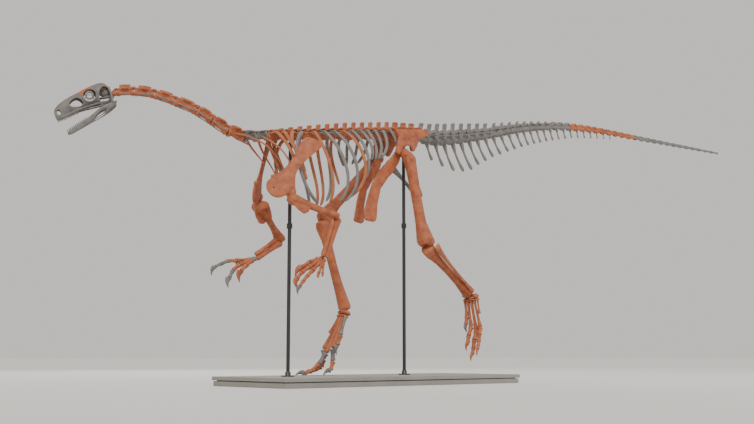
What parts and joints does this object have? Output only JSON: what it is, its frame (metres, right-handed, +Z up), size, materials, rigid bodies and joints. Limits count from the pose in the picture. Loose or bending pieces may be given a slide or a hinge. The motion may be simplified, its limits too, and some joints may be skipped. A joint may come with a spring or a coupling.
{
  "type": "mounted dinosaur skeleton",
  "caption": "Long-necked two-legged dinosaur skeleton in mid stride with open jaws, held by two upright rods on a flat base.",
  "frame": {"origin": "centre of the display base's underside", "axes": "+X from the skeleton's shoulders towards its tail, +Z up, the animal's left side towards -Y"},
  "size_m": [4.4686, 0.6648, 1.5565],
  "materials": {
    "fossil_bone": "matt rust-brown fossil bone",
    "restored_bone": "matt warm grey restored bone",
    "black_steel": "satin black steel rod",
    "painted_board": "matt pale painted board"
  },
  "bodies": {
    "root": {"skull": "restored_bone", "lower_jaw": "restored_bone", "neck_front": "fossil_bone", "neck_middle": "fossil_bone", "neck_rear": "fossil_bone", "trunk_left": "fossil_bone", "trunk_right": "fossil_bone", "sacrum": "fossil_bone", "ilium_left": "fossil_bone", "pubis_left": "fossil_bone", "ischium_left": "restored_bone", "ilium_right": "fossil_bone", "pubis_right": "fossil_bone", "ischium_right": "restored_bone", "tail_base": "restored_bone", "tail_middle": "restored_bone", "tail_rear": "restored_bone", "tail_tip": "restored_bone", "scapulocoracoid_left": "fossil_bone", "humerus_left": "fossil_bone", "ulna_left": "fossil_bone", "radius_left": "fossil_bone", "wrist_left": "fossil_bone", "hand_left_digit_1": "fossil_bone", "hand_left_digit_2": "fossil_bone", "hand_left_digit_3": "fossil_bone", "hand_left_digit_4": "fossil_bone", "hand_left_digit_5": "fossil_bone", "femur_left": "fossil_bone", "tibia_left": "fossil_bone", "fibula_left": "fossil_bone", "ankle_left": "fossil_bone", "foot_left_digit_1": "fossil_bone", "foot_left_digit_2": "fossil_bone", "foot_left_digit_3": "fossil_bone", "foot_left_digit_4": "fossil_bone", "foot_left_digit_5": "fossil_bone", "scapulocoracoid_right": "fossil_bone", "humerus_right": "fossil_bone", "ulna_right": "fossil_bone", "radius_right": "fossil_bone", "wrist_right": "fossil_bone", "hand_right_digit_1": "fossil_bone", "hand_right_digit_2": "fossil_bone", "hand_right_digit_3": "fossil_bone", "hand_right_digit_4": "fossil_bone", "hand_right_digit_5": "fossil_bone", "femur_right": "fossil_bone", "tibia_right": "fossil_bone", "fibula_right": "fossil_bone", "ankle_right": "fossil_bone", "foot_right_digit_1": "fossil_bone", "foot_right_digit_2": "fossil_bone", "foot_right_digit_3": "fossil_bone", "foot_right_digit_4": "fossil_bone", "foot_right_digit_5": "fossil_bone", "stand_base": "painted_board", "stand_rod_front": "black_steel", "stand_rod_rear": "black_steel"}
  },
  "joints": []
}
